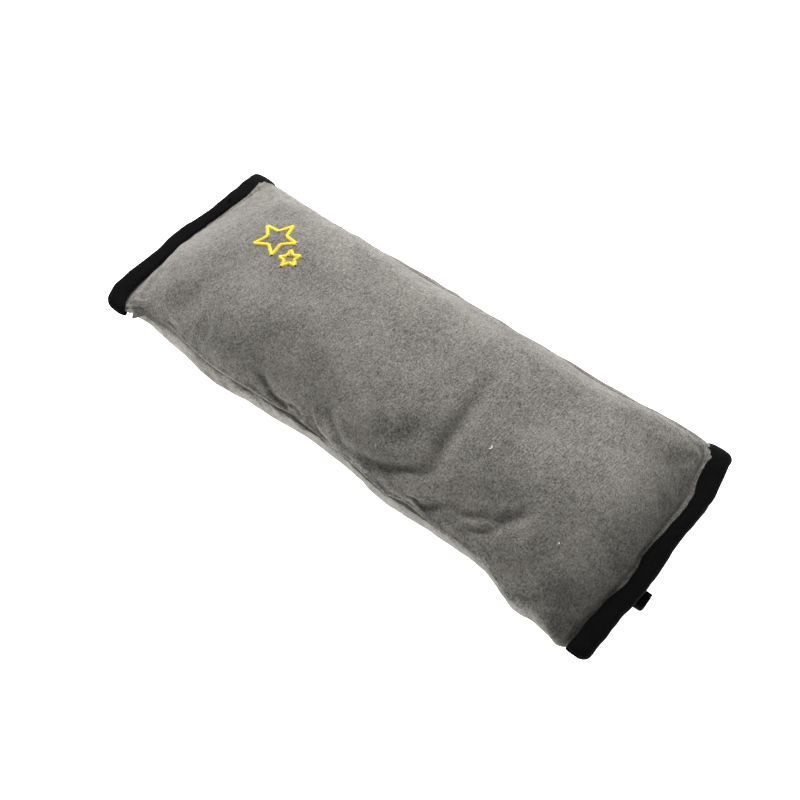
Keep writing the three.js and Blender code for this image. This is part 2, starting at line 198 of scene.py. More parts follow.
def weave_group():
    """Plain weave of a narrow tape: threads crossing both ways."""
    group, given, out = new_group(
        "tape_weave",
        [("Vector", "NodeSocketVector", (0, 0, 0)), ("Thread", "NodeSocketFloat", 0.0005)],
        [("Shade", "NodeSocketFloat"), ("Height", "NodeSocketFloat")])
    split = group.nodes.new("ShaderNodeSeparateXYZ")
    group.links.new(given.outputs["Vector"], split.inputs["Vector"])
    turns = maths(group, "DIVIDE", math.pi, given.outputs["Thread"])
    across = maths(group, "SINE", maths(group, "MULTIPLY", split.outputs["X"], turns), 0)
    height_axis = maths(group, "ADD", split.outputs["Y"], split.outputs["Z"])
    along = maths(group, "SINE", maths(group, "MULTIPLY", height_axis, turns), 0)
    threads = maths(group, "MULTIPLY", across, along)
    fuzz = ranged(group, placed_noise(group, given.outputs["Vector"], 900, 2), 0.3, 0.7, -1, 1)
    height = maths(group, "ADD", threads, maths(group, "MULTIPLY", fuzz, 0.6))
    group.links.new(height, out.inputs["Height"])
    group.links.new(ranged(group, height, -1.4, 1.4, 0.75, 1.3), out.inputs["Shade"])
    return group


PILE = pile_group()
WEAVE = weave_group()


def new_material(name, colour, roughness, sheen=0.0, sheen_roughness=0.4):
    material = bpy.data.materials.new(name)
    material.use_nodes = True
    tree = material.node_tree
    shader = tree.nodes["Principled BSDF"]
    shader.inputs["Base Color"].default_value = (*colour, 1)
    shader.inputs["Roughness"].default_value = roughness
    shader.inputs["Specular IOR Level"].default_value = 0.25
    shader.inputs["Sheen Weight"].default_value = sheen
    shader.inputs["Sheen Roughness"].default_value = sheen_roughness
    place = tree.nodes.new("ShaderNodeTexCoord").outputs["Object"]
    return material, tree, shader, place


def use_group(tree, group, place, **values):
    node = tree.nodes.new("ShaderNodeGroup")
    node.node_tree = group
    tree.links.new(place, node.inputs["Vector"])
    for name, value in values.items():
        node.inputs[name].default_value = value
    return node


def raise_bump(tree, shader, height, distance, strength=1.0):
    bump = tree.nodes.new("ShaderNodeBump")
    bump.inputs["Distance"].default_value = distance
    bump.inputs["Strength"].default_value = strength
    tree.links.new(height, bump.inputs["Height"])
    tree.links.new(bump.outputs["Normal"], shader.inputs["Normal"])


def shade_base(tree, shader, colour, shade):
    constant = tree.nodes.new("ShaderNodeRGB")
    constant.outputs["Color"].default_value = (*colour, 1)
    shaded = scaled_colour(tree, constant.outputs["Color"], shade)
    tree.links.new(shaded, shader.inputs["Base Color"])


def velour_material(name, colour, patches=0.17, grain=0.56, painted_shade=True):
    """Dense short pile. A mesh attribute paints shade into it in creases and seam grooves,
    and below 0 paints light on their crests and on the near belly.
    """
    material, tree, shader, place = new_material(
        name, colour, 0.95, sheen=0.6, sheen_roughness=0.3)
    shader.inputs["Sheen Tint"].default_value = (0.9, 0.89, 0.86, 1)
    pile = use_group(tree, PILE, place, Patches=patches, Grain=grain)
    shade = pile.outputs["Shade"]
    if painted_shade:
        painted_shading = tree.nodes.new("ShaderNodeAttribute")
        painted_shading.attribute_name = "painted_shading"
        # Painted shade darkens the pile down to half; below 0, painted light lightens it up to
        # half again.
        shade = maths(tree, "MULTIPLY", shade, ranged(tree, painted_shading.outputs["Fac"], -1, 1, 1.5, 0.5))
    shade_base(tree, shader, colour, shade)
    raise_bump(tree, shader, pile.outputs["Height"], 0.2 * MM, 0.5)
    return material


def tape_material(name, colour, thread=0.45 * MM):
    material, tree, shader, place = new_material(name, colour, 0.9)
    shader.inputs["Specular IOR Level"].default_value = 0.06
    weave = use_group(tree, WEAVE, place, Thread=thread)
    shade_base(tree, shader, colour, weave.outputs["Shade"])
    raise_bump(tree, shader, weave.outputs["Height"], 0.12 * MM, 0.6)
    return material


def thread_material(name, colour, roughness=0.4, shine=0.25):
    material, tree, shader, place = new_material(name, colour, roughness)
    shader.inputs["Specular IOR Level"].default_value = shine
    twist = placed_noise(tree, place, 2600, 2, stretch=3)
    shade_base(tree, shader, colour, ranged(tree, twist, 0.3, 0.7, 0.8, 1.15))
    raise_bump(tree, shader, twist, 0.08 * MM, 0.5)
    return material


VELOUR_GREY = (0.212, 0.202, 0.182)
STRIP_BLACK = (0.012, 0.013, 0.015)
GREY_VELOUR = velour_material("grey_velour", VELOUR_GREY)
FLAP_VELOUR = velour_material("flap_velour", VELOUR_GREY, painted_shade=False)
BLACK_BINDING = tape_material("black_binding", (0.0034, 0.0035, 0.0038))
BLACK_LOOP = velour_material("black_loop_pile", STRIP_BLACK, 0.15, 0.35, painted_shade=False)
BLACK_HOOK = tape_material("black_hook_tape", STRIP_BLACK, 1.0 * MM)
YELLOW_THREAD = thread_material("yellow_thread", (0.93, 0.76, 0.05), 0.38)
BLACK_THREAD = thread_material("black_thread", (0.0025, 0.0025, 0.003), 0.9, 0.04)
GREY_THREAD = thread_material("grey_thread", (0.22, 0.21, 0.19), 0.6)
LINT = thread_material("white_lint", (0.9, 0.9, 0.88), 0.8)


# The stuffed pad

END_BOW = 1.8 * MM                  # the corners lie this much short of the middle of an end
FAR_LEFT_DRAW = 3.4 * MM            # the far left corner is drawn in further
NEAR_RIGHT_DRAW = 2 * MM            # and so is the near right one
EAR = 4 * MM                        # tape past the cloth at each corner
HALF_LENGTH = (right_high.x - left_low.x) / 2
HALF_WIDTHS = (-left_low.y, right_high.y)
MIDDLE_X = (right_high.x + left_low.x) / 2
CLOTH_END = HALF_LENGTH - 3.2 * MM  # the cloth reaches this far inside the tapes
TAPE_MOUTH = HALF_LENGTH - 9 * MM
SLEEVE_EDGE = -36 * MM              # the back is held flat from here to the far seam

STATIONS = 168
CROWDING = 0.25                     # how much closer together stations lie towards the ends
ROUND = 64                          # points over the front, and as many under the back
SEAM_CROWDING = 0.12                # how much closer together points lie towards the seams
FAN = 1.25                          # over 1, the search rays stand more upright over the middle
FAN_WIDTH = 0.72                    # the rays aim at places spread over this much of the width
RAY_START = 80 * MM                 # and start this far outside of them
SEAM_PINCH = 0.5 * MM               # the sewn edge draws in this much
SEAM_ABOVE_RIM = 0.15 * MM          # the seam lies this much over the rim of the back
SEAM_LIFTS = [lift * MM for lift in (0, 0.4, 0.8, 1.3, 1.8, 2.4)]
NEAR_SEAM = 0.88                    # past this share of the width a ray can slip between panels
SLIP_DEPTH = 5 * MM                 # a ray that goes in this far has slipped
ANGLE_SPREAD = 1 / 0.85             # how the angle on the cloth follows from a point's y
TONGUE_FLATNESS = 0.65              # how far the cloth inside an end tape is pressed flat
WHOLE_SECTION = 12                  # a section of the back has more corners than this


def bow_at(x, y):
    """How far the drawn-in ends shift a straight station at x, for a point at y."""
    side = (x - MIDDLE_X) / HALF_LENGTH
    half_width = lerp(HALF_WIDTHS[0], HALF_WIDTHS[1], (side + 1) / 2)
    cloth = half_width - EAR
    if side < 0:
        corner = FAR_LEFT_DRAW * smoothstep(y, -cloth / 4, cloth / 2)
    else:
        corner = NEAR_RIGHT_DRAW * smoothstep(-y, cloth / 5, cloth)
    drawn = END_BOW * (y / half_width) ** 2 + corner
    return -math.copysign(drawn, side) * smoothstep(abs(side), 0.5, 1)


def straightened(point):
    """The point with its end's bow taken out."""
    x = point.x
    for _ in range(4):
        x = point.x - bow_at(x, point.y)
    return Vector((x, point.y, point.z))


def bowed(point):
    """The point with its end's bow put back."""
    return Vector((point.x + bow_at(point.x, point.y), point.y, point.z))


def straight_panels():
    """A search tree of both panels with their ends straightened, and the seam's height along X."""
    bm = bmesh.new()
    sections = {}
    for node in ("front_panel", "back_panel"):
        part = merged_copy(node)
        for vert in part.verts:
            vert.co = straightened(vert.co)
        if node == "back_panel":
            for vert in part.verts:
                sections.setdefault(round(vert.co.x / MM), []).append(vert.co.z)
        mesh = bpy.data.meshes.new("straight_" + node)
        part.to_mesh(mesh)
        part.free()
        bm.from_mesh(mesh)
        bpy.data.meshes.remove(mesh)
    tree = BVHTree.FromBMesh(bm)
    bm.free()
    whole = {key: found for key, found in sections.items() if len(found) > WHOLE_SECTION}
    return tree, sorted((key * MM, max(found)) for key, found in whole.items())


def seam_height(heights, x):
    """The height of the long seams at x, from heights at known places."""
    for (x0, z0), (x1, z1) in zip(heights, heights[1:]):
        if x <= x1:
            return lerp(z0, z1, min(1, max(0, (x - x0) / max(x1 - x0, 1e-9))))
    return heights[-1][1]


def filled_gaps(points):
    """Replaces each missing point by one on the line between its nearest neighbours."""
    known = [k for k, point in enumerate(points) if point is not None]
    for k, point in enumerate(points):
        if point is None:
            before = max(i for i in known if i < k)
            after = min(i for i in known if i > k)
            points[k] = points[before].lerp(points[after], (k - before) / (after - before))
    return points


def section_points(tree, heights, x):
    """The outside of the pad at a straight station x, from the far seam over the front and back.

    Known fault: a ray that slips between the panels and stops near the opposite seam isn't
    caught, so a few points beside each seam lie across the pad, and faces run through its inside.
    """
    seam = seam_height(heights, x) + SEAM_ABOVE_RIM

    def edge(out):
        """The outermost cloth of the long edge on one side, a little over the seam."""
        rims = []
        for lift in SEAM_LIFTS:
            start = Vector((x, out * RAY_START, seam + lift))
            found = tree.ray_cast(start, Vector((0, -out, 0)))
            if found[0]:
                rims.append(found[0].y * out)
        return out * (max(rims) - SEAM_PINCH)

    rims = {1: edge(1), -1: edge(-1)}
    points = []
    for side in (1, -1):
        for i in range(ROUND):
            u = i / ROUND
            t = side * (1 - 2 * (u - SEAM_CROWDING * math.sin(2 * math.pi * u)))
            rim = rims[1 if t > 0 else -1]
            if i == 0:
                points.append(Vector((x, rim, seam)))
                continue
            turn = math.radians(90) * abs(t) ** FAN * (1 if t > 0 else -1)
            away = Vector((0, math.sin(turn), side * math.cos(turn)))
            middle = Vector((x, FAN_WIDTH * abs(rim) * t, seam))
            found = tree.ray_cast(middle + away * RAY_START, -away)[0]
            slipped_in = (found and abs(t) > NEAR_SEAM
                          and abs(found.y) < abs(rim) - SLIP_DEPTH)
            points.append(None if slipped_in else found)
    points.append(points[0])
    return filled_gaps(points)[:-1]


def section_or_tongue(tree, heights, x):
    """The section at x. Inside an end tape it is the one at the tape's mouth, pressed flat."""
    mouth = TAPE_MOUTH - MM
    reach = abs(x - MIDDLE_X)
    if reach <= mouth:
        return section_points(tree, heights, x)
    at_mouth = MIDDLE_X + math.copysign(mouth, x - MIDDLE_X)
    seam = seam_height(heights, at_mouth)
    flat = TONGUE_FLATNESS * smoothstep(reach, mouth, mouth + 3 * MM)
    return [Vector((x, point.y * (1 - 0.02 * flat), lerp(point.z, seam, flat)))
            for point in section_points(tree, heights, at_mouth)]


def straight_stations():
    """Straight positions along the pad, closer together towards the ends."""
    found = []
    for k in range(STATIONS + 1):
        t = 2 * k / STATIONS - 1
        spread = (1 - CROWDING) * t + CROWDING * math.sin(t * math.pi / 2)
        found.append(MIDDLE_X + CLOTH_END * spread)
    return found


def stuffed_shape():
    """The outside of both panels, as one tube of sections with filled ends. Each corner keeps
    its place on the cloth: station, angle, and distance from the near and the far seam."""
    tree, heights = straight_panels()
    bm = bmesh.new()
    marks = {name: bm.verts.layers.float.new(name)
             for name in ("station", "angle", "from_near", "from_far")}
    ring = bmesh.ops.create_circle(bm, segments=2 * ROUND, radius=1)["verts"]
    edges = list(bm.edges)
    for k, x in enumerate(straight_stations()):
        if k:
            made = bmesh.ops.extrude_edge_only(bm, edges=edges)["geom"]
            fresh = {item for item in made if isinstance(item, bmesh.types.BMVert)}
            ring = [next(e.other_vert(v) for e in v.link_edges if e.other_vert(v) in fresh)
                    for v in ring]
            inside = set(ring)
            edges = [e for e in made if isinstance(e, bmesh.types.BMEdge)
                     and e.verts[0] in inside and e.verts[1] in inside]
        points = section_or_tongue(tree, heights, x)
        lengths = [0.0]
        for a, b in zip(points, points[1:] + points[:1]):
            lengths.append(lengths[-1] + (b - a).length / MM)
        for j, (vert, point) in enumerate(zip(ring, points)):
            vert.co = bowed(point)
            rim = abs(points[0].y if point.y > 0 else points[ROUND].y)
            across = math.copysign(min(1, abs(point.y) / rim) ** ANGLE_SPREAD, point.y)
            vert[marks["station"]] = (x - MIDDLE_X) / MM
            vert[marks["angle"]] = math.degrees(math.acos(across))
            vert[marks["from_near"]] = lengths[ROUND] - lengths[j]
            vert[marks["from_far"]] = lengths[j] if j < ROUND else lengths[j] - lengths[-1]
    bmesh.ops.holes_fill(bm, edges=[e for e in bm.edges if e.is_boundary], sides=0)
    bmesh.ops.recalc_face_normals(bm, faces=bm.faces)
    return bm


def read_marks(mesh, *names):
    """The values of named marks, one array for each name."""
    found = []
    for name in names:
        values = np.empty(len(mesh.vertices), np.float32)
        mesh.attributes[name].data.foreach_get("value", values)
        found.append(values.astype(float))
    return found


def read_points(mesh, what="co"):
    values = np.empty(3 * len(mesh.vertices), np.float32)
    mesh.vertices.foreach_get(what, values)
    return values.reshape(-1, 3).astype(float)


def write_points(mesh, points):
    mesh.vertices.foreach_set("co", points.astype(np.float32).ravel())
    mesh.update()


def ramp(values, low, high):
    """smoothstep for arrays."""
    t = np.clip((values - low) / (high - low), 0, 1)
    return t * t * (3 - 2 * t)


def bump_at(values, middle, width):
    """A smooth bump, 1 in the middle."""
    return np.exp(-((values - middle) / width) ** 2)


SIMULATED_FRAMES = 20
FRONT_CAP = 1.6                     # the simulated cloth moves no further than this, in mm
BELLY_CAP = 0.8
ABOVE_TABLE = 0.1 * MM              # the cloth stays this far off the table


def puffed(piece):
    """Blows the cloth up a little between its seams, with the sleeve side and the ends held."""
    mesh = piece.data
    station, from_near, from_far = read_marks(mesh, "station", "from_near", "from_far")
    start = read_points(mesh)
    under = (from_near < 0) | (from_far < 0)
    held = np.abs(station) > TAPE_MOUTH / MM - 3
    held |= (np.abs(from_near) < 1.5) | (np.abs(from_far) < 2.5)
    held |= under & (start[:, 1] > SLEEVE_EDGE)
    group = piece.vertex_groups.new(name="held")
    group.add(np.flatnonzero(held).tolist(), 1.0, "REPLACE")
    cloth = piece.modifiers.new("stuffing_pressure", "CLOTH")
    settings = cloth.settings
    settings.quality = 4
    settings.mass = 0.3
    settings.tension_stiffness = settings.compression_stiffness = 14
    settings.shear_stiffness = 6
    settings.bending_stiffness = 0.6
    settings.shrink_min = -0.02     # the cloth is cut this share larger than the pad
    settings.use_pressure = True
    settings.uniform_pressure_force = 4
    settings.vertex_group_mass = "held"
    settings.effector_weights.gravity = 0
    cloth.point_cache.frame_start = 1
    cloth.point_cache.frame_end = SIMULATED_FRAMES
    for number in range(1, SIMULATED_FRAMES + 1):
        bpy.context.scene.frame_set(number)
    applied(piece)
    bpy.context.scene.frame_set(1)
    moved = read_points(piece.data) - start
    length = np.linalg.norm(moved, axis=1, keepdims=True) / MM
    cap = np.where(under, BELLY_CAP, FRONT_CAP)[:, None]
    points = start + moved * (cap * np.tanh(length / cap) / np.maximum(length, 1e-6))
    points[:, 2] = np.maximum(points[:, 2], ABOVE_TABLE)
    write_points(piece.data, points)
    piece.vertex_groups.clear()


# Creases pressed into the front: a line of (station, angle) on the cloth, depth, width and shade.
# The angle goes from 0 at the far seam over 90 at the crown to 180 at the near seam. Depths and
# widths are in mm, and shade is painted shade darkening the crease; below 0 it paints a highlight
# on a ridge.
CREASES = [
    ([(46, 138), (43, 122), (43, 104), (42, 84)], 1.5, 3.2, 0.75),
    ([(10, 165), (24, 158), (34, 146), (47, 135)], 1.6, 3.0, 0.85),
    ([(14, 140), (25, 132), (33, 116)], 0.9, 4.5, 0.5),
    ([(42, 177), (51, 169), (57, 154), (62, 146)], 1.3, 2.2, 0.7),
    ([(62, 152), (72, 143), (80, 136), (91, 118)], 1.0, 2.2, 0.65),
    ([(71, 162), (80, 148), (84, 134), (87, 125)], 1.0, 2.2, 0.65),
    ([(45, 172), (52, 171), (58, 173)], 0.4, 2.2, 0.45),
    ([(-12, 146), (-5, 154), (5, 169)], 1.2, 3.2, 0.6),
    ([(-16, 152), (-10, 163), (-4, 177)], -0.9, 1.2, -0.4),
    ([(-48, 150), (-37, 166), (-22, 176)], 1.3, 2.6, 0.7),
    ([(-46, 160), (-37, 172), (-24, 179)], -0.8, 1.0, -0.4),
    ([(-131, 148), (-131, 160), (-128, 172)], 0.8, 2.4, 0.5),
    ([(78, 163), (85, 169), (92, 176)], -0.8, 1.3, -0.3),
    ([(104, 170), (112, 160), (118, 146)], 0.9, 4.0, 0.4),
    ([(131, 168), (127, 154), (121, 134)], 1.1, 3.6, 0.6),
    ([(135, 176), (134, 164), (134, 150)], 0.8, 3.4, 0.9),
    ([(128, 40), (122, 56), (116, 64)], 0.7, 3.5, 0.3),
    ([(-126, 30), (-120, 40), (-112, 52)], 0.7, 3.5, 0.2),
]
ARC = 0.8                           # mm of cloth to one degree of angle

# Patches of painted shade, and below 0 of painted light: station, angle, reach along and across in
# mm, and strength
PAINTED_SHADE_PATCHES = [
    (-105, 146, 16, 9, 0.2), (-78, 150, 20, 8, 0.35), (-40, 144, 18, 10, 0.35),
    (-10, 140, 14, 9, 0.3), (16, 150, 16, 8, 0.35), (30, 118, 12, 7, 0.2),
    (94, 154, 12, 7, 0.4), (119, 136, 12, 9, 0.4), (128, 150, 7, 10, 0.4),
    (132, 100, 11, 60, 0.5), (-112, 150, 30, 14, -0.3), (92, 78, 28, 18, -0.48),
    (128, 85, 12, 40, 0.45), (129, 162, 10, 14, 0.7), (108, 131, 18, 12, 0.3),
    (62, 162, 12, 6, 0.25), (100, 100, 18, 12, 0.14), (-60, 96, 14, 10, 0.12),
    (70, 60, 14, 9, 0.12), (20, 40, 18, 8, 0.1), (-20, 80, 12, 10, 0.12),
    (-10, 76, 60, 22, -0.14),
]

# How plainly the near seam shows: stations, and its strength at each
SEAM_SHOWS = ((-136, -116, -85, -50, -25, 0, 25, 60), (0.5, 0.8, 1, 1, 0.7, 0.5, 0.35, 0.3))

# Beside the far left corner the seam is caught in: x of the notch at NOTCH_HEIGHT, how far it
# leans for each mm of height, how deep it goes, and half its width. All in mm.
NOTCH_AT = -119.3
NOTCH_HEIGHT = 20
NOTCH_LEAN = 0.69
NOTCH_DEPTH = 5.6
NOTCH_REACH = 2.2

# Where the near seam strays from its plain line: station, reach along it, and shift in y, in mm
NEAR_SHIFTS = [
    (132, 7, -4.0), (117, 5, 1.0), (102, 9, -2.2), (62, 16, -0.8), (28, 14, -0.8),
    (-26, 18, -1.4), (-98, 12, 0.8), (-119, 7, 1.5), (-133, 6, -2.6),
]
FAR_SHIFTS = [(-113, 13, -2.8), (20, 60, 0.6), (96, 16, 1.2)]
NEAR_SHIFT_REACH = 17               # how far in from the seam such a shift is felt, in mm
FAR_SHIFT_REACH = 14
NOTCH_CLOTH_REACH = 13
TUCK = 1.4                          # the cloth goes in this much under an end tape, in mm

# How the end tapes stray from their plain line: for each y, the shift along X of the outer and
# of the inner edge, in mm
LEFT_EDGES = [
    (-54, 1.8, 7.0), (-50, 0.8, 3.9), (-45, -0.1, 1.8), (-36, -0.1, 1.2), (-25, 1.2, 1.5),
    (-16, 1.4, 1.9), (-6, 0.1, 1.1), (6, 0.7, 0.9), (18, 1.0, 0.5), (30, 0.4, 1.4),
    (42, -0.1, 2.7), (48, -0.4, 3.0), (54, -0.7, 3.0),
]
RIGHT_EDGES = [
    (-60, 0.8, -0.6), (-48, 0.6, -0.8), (-36, 0, -0.8), (-22, 0.4, 1.0),
    (-14, 0.4, 0.5), (-8, 0.4, -0.6), (0, -0.2, 0), (7, -0.3, 0.7), (14, -0.2, 1.3),
    (24, 1.0, 2.4), (30, 1.2, 2.0), (36, 1.4, 0.3), (47, 0.5, -1.8), (54, -0.3, -3.8),
    (60, -0.9, -5.5),
]


def edge_shifts(y, edges):
    """The shifts of a tape's outer and inner edge at y."""
    table = np.array(edges)
    return np.interp(y, table[:, 0], table[:, 1]), np.interp(y, table[:, 0], table[:, 2])


def crease_field(station, angle):
    """How deep the creases are at each place on the cloth, and how much shade is painted there
    (below 0, painted light).
    """
    depth = np.zeros_like(station)
    painted_shading = np.zeros_like(station)
    place = np.stack([station, angle * ARC], axis=1)
    for corners, deep, width, painted_shade in CREASES:
        line = np.array(corners, float) * (1, ARC)
        runs = np.linalg.norm(np.diff(line, axis=0), axis=1)
        total = runs.sum()
        nearest = np.full(len(station), 1e9)
        along = np.zeros(len(station))
        passed = 0.0
        for start, end, run in zip(line, line[1:], runs):
            t = np.clip(((place - start) @ (end - start)) / run ** 2, 0, 1)
            away = np.linalg.norm(place - start - t[:, None] * (end - start), axis=1)
            closer = away < nearest
            along = np.where(closer, (passed + t * run) / total, along)
            nearest = np.minimum(nearest, away)
            passed += run
        fade = ramp(along, 0, 0.25) * (1 - 0.8 * ramp(along, 0.6, 1))
        core = bump_at(nearest, 0, width)
        bank = bump_at(nearest, 2.1 * width, width)
        depth += deep * (0.25 + 0.75 * fade) * (core - 0.3 * bank)
        painted_shading += painted_shade * (0.2 + 0.8 * fade) * core
    # Patches of painted shade and painted light, laid over the creases'.
    for x, middle, along, across, strength in PAINTED_SHADE_PATCHES:
        away = ((station - x) / along) ** 2 + ((angle - middle) * ARC / across) ** 2
        painted_shading += strength * np.exp(-away)
    return depth, np.clip(painted_shading, -0.6, 1)


def caught_in(x, z):
    """1 in the middle of the notch, 0 away from it."""
    middle = NOTCH_AT - (NOTCH_HEIGHT - z) * NOTCH_LEAN
    return bump_at(x, middle, NOTCH_REACH)


SEED_STEP = 17.3                    # sets the noise of one seed apart from that of the next


def wavering(station, period, seed):
    """A slow irregular wave along the pad, between about -1 and 1."""
    places = np.arange(-160, 161, 1.0)
    wave = np.array([noise.noise(Vector((x / period, seed * SEED_STEP, 3.1))) for x in places])
    return np.interp(station, places, wave * 1.8)


def lumpy(points, scale, seed):
    """Smooth noise at each point. A higher scale makes smaller lumps."""
    shift = Vector((seed, 2.7 * seed, 0))
    return np.array([noise.noise(Vector(point) * scale + shift) for point in points])


def seam_relief(station, near, far, shown):
    """How far the cloth stands out beside the long seams, in mm: their crests, grooves and
    gathers. Also the wavering strength of the far one."""
    crest = 0.55 * bump_at(near, 1.1, 0.8)
    groove = 0.8 * bump_at(near, -0.9, 1.0)
    gathers = 0.25 * wavering(station, 5.5, 2) * bump_at(near, 2.5, 3.5)
    near_waver = shown * (0.8 + 0.4 * wavering(station, 16, 1))
    near_rise = near_waver * (crest - groove) + gathers
    far_waver = 0.8 + 0.5 * wavering(station, 12, 3)
    welt = 0.55 * bump_at(far, 1.6, 1.0) - 0.7 * bump_at(far, 4.2, 1.5)
    far_rise = far_waver * welt + 0.3 * wavering(station, 6, 5) * bump_at(far, 0, 4)
    return near_rise, far_rise, far_waver


def seam_shade(near, far, below, shown, far_waver):
    """Painted shade in the grooves of the long seams. Below 0 it is painted light, as on their
    crests and on the belly below the near one."""
    shade = shown * (0.35 * bump_at(near, -0.8, 0.8) - 0.5 * bump_at(near, 1.1, 0.9))
    shade -= 1.0 * shown * ramp(-near, 1.5, 5) * below
    shade -= (0.5 + 0.3 * far_waver) * bump_at(far, 1.2, 1.6)
    shade += 0.5 * bump_at(far, -0.6, 0.7)
    return shade


def sewn_and_creased(piece):
    """Presses seams, gathers and creases into the finished surface, and marks where shade and
    light are painted on the pile.
    """
    mesh = piece.data
    station, angle, near, far = read_marks(mesh, "station", "angle", "from_near", "from_far")
    points = read_points(mesh)
    normals = read_points(mesh, "normal")
    front = (near > 0) & (far > 0)
    from_seam = np.minimum(near, far)
    inner = 1 - ramp(np.abs(station), TAPE_MOUTH / MM - 8, TAPE_MOUTH / MM)
    depth, painted_shading = crease_field(station, angle)
    depth = np.where(front, depth, 0) * inner * ramp(near, 0, 4)
    painted_shading = np.where(front, painted_shading, 0)

    broad = lumpy(points, 26, 4) * 1.1 + lumpy(points, 60, 9) * 0.45
    rise = broad * ramp(from_seam, 2, 14) * front * inner
    shown = np.interp(station, *SEAM_SHOWS)
    near_rise, far_rise, far_waver = seam_relief(station, near, far, shown)
    rise += near_rise * inner
    rise += far_rise * inner
    for mouth, seed in ((-TAPE_MOUTH / MM, 6), (TAPE_MOUTH / MM, 7)):
        pulled = bump_at(np.abs(station - mouth), 5, 4.5)
        gather = wavering(angle * ARC, 5, seed) * 0.55
        rise += gather * pulled * front * ramp(from_seam, 1, 6) * inner
    for side, edges in ((-1, LEFT_EDGES), (1, RIGHT_EDGES)):
        mouth = TAPE_MOUTH / MM + side * edge_shifts(points[:, 1] / MM, edges)[1]
        under_tape = ramp(side * station, mouth - 3, mouth - 0.3)
        rise -= TUCK * under_tape * ramp(from_seam, 0, 4)
    points += normals * ((rise - depth) * MM)[:, None]

    caught = caught_in(points[:, 0] / MM, points[:, 2] / MM)
    points[:, 1] -= NOTCH_DEPTH * MM * caught * bump_at(far, 0, NOTCH_CLOTH_REACH)
    for shifts, away, felt in ((NEAR_SHIFTS, near, NEAR_SHIFT_REACH),
                               (FAR_SHIFTS, far, FAR_SHIFT_REACH)):
        for at, reach, shift in shifts:
            moved = bump_at(station, at, reach) * bump_at(away, 0, felt)
            points[:, 1] += shift * MM * moved
    under = (near < 0) & (points[:, 1] < SLEEVE_EDGE)
    points[:, 2] = np.where(under, np.maximum(points[:, 2], ABOVE_TABLE), points[:, 2])
    write_points(mesh, points)

    for name in ("station", "angle", "from_near", "from_far"):
        mesh.attributes.remove(mesh.attributes[name])
    # Painted shade in the seam grooves and painted light on the crests and near belly, added to
    # the painted shade of the creases and patches.
    shade = seam_shade(near, far, points[:, 1] < SLEEVE_EDGE, shown, far_waver)
    marked = mesh.attributes.new("painted_shading", "FLOAT", "POINT")
    marked.data.foreach_set("value", (painted_shading + shade * inner).astype(np.float32))


pad = piece_from("stuffed_pad", stuffed_shape(), GREY_VELOUR)
puffed(pad)
subdivided(pad, 1)
sewn_and_creased(pad)
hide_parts("front_panel", "back_panel", "filling")
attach(pad, "root")


# Tapes, flap and strips

def soft_copy(name, node, material, levels=2, cuts=()):
    """A node's mesh in quads, cut across at some x, and rounded by subdivision, in its place."""
    bm = merged_copy(node)
    quads_from_triangles(bm)
    for x in cuts:
        bmesh.ops.bisect_plane(bm, geom=bm.verts[:] + bm.edges[:] + bm.faces[:],
                               plane_co=(x * MM, 0, 0), plane_no=(1, 0, 0))
    piece = piece_from(name, bm, material)
    subdivided(piece, levels)
    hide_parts(node)
    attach(piece, "root")
    return piece


# Where the flap's mesh is cut across so that the notch can be pressed in: x in mm
NOTCH_CUTS = (-134, -132.5, -131, -129.5, -128, -126.5, -125, -123.5, -121)

# Where the fold of the flap strays from its plain line: x, and shift along Y in mm
FOLD_SHIFTS = ((-130, -112, -95, -60, 0, 60, 100, 122, 132),
               (-1.2, -3.4, -1.0, 0.3, 0.5, 0.9, 0.2, 0.6, 0))
FOLD_RIM = ((-127, -116, 100, 128), (50, 49, 50, 56))   # x and y of the fold's edge in mm

# The tail of the flap's edge tape, under the right end
TAIL_FROM, TAIL_TO = 136 * MM, 143 * MM
TAIL_LONGER = 1.4 * MM
TAIL_THICKER = 0.7                  # as a share of its thickness

# At both ends of an end tape: y, reach, and shift along Y, in mm
LEFT_ENDS = [(-56, 7, -1.6), (55, 8, 1.2)]
RIGHT_ENDS = [(60, 8, 1.9), (-57, 8, -0.6)]


def worn_tape(piece, side, edges, ends, wave):
    """Lets an end tape wander, with waves this strong in its outer edge and puckered faces."""
    points = read_points(piece.data) / MM
    x, y, z = points.T
    straight = np.array([straightened(Vector(point) * MM).x for point in points]) / MM
    outer = side * (straight - MIDDLE_X / MM)
    across = ramp(outer, TAPE_MOUTH / MM, HALF_LENGTH / MM)
    outer_shift, inner_shift = edge_shifts(y, edges)
    swing = wavering(y, 7, 11 + side) * 0.5
    normals = read_points(piece.data, "normal")
    pucker = lumpy(points * MM, 150, 3) * 0.4 + lumpy(points * MM, 420, 5) * 0.12
    points += normals * pucker[:, None]
    points[:, 0] += inner_shift + (outer_shift - inner_shift) * across + swing * wave * across
    for at, reach, shift in ends:
        round_off = 1 - 0.55 * (2 * across - 1) ** 4
        points[:, 1] += shift * bump_at(y, at, reach) * round_off
    points[:, 2] = np.maximum(points[:, 2], 0)
    write_points(piece.data, points * MM)


left_binding = soft_copy("left_binding", "left_end_tape", BLACK_BINDING, 3)
right_binding = soft_copy("right_binding", "right_end_tape", BLACK_BINDING, 3)
worn_tape(left_binding, -1, LEFT_EDGES, LEFT_ENDS, 0.6)
worn_tape(right_binding, 1, RIGHT_EDGES, RIGHT_ENDS, 0.3)
flap_binding = soft_copy("flap_binding", "flap_edge_tape", BLACK_BINDING)
flap = soft_copy("folded_flap", "closing_flap", FLAP_VELOUR, 2, NOTCH_CUTS)
soft_copy("loop_field", "loop_strip", BLACK_LOOP, 1)
soft_copy("hook_field", "hook_strip", BLACK_HOOK, 1)


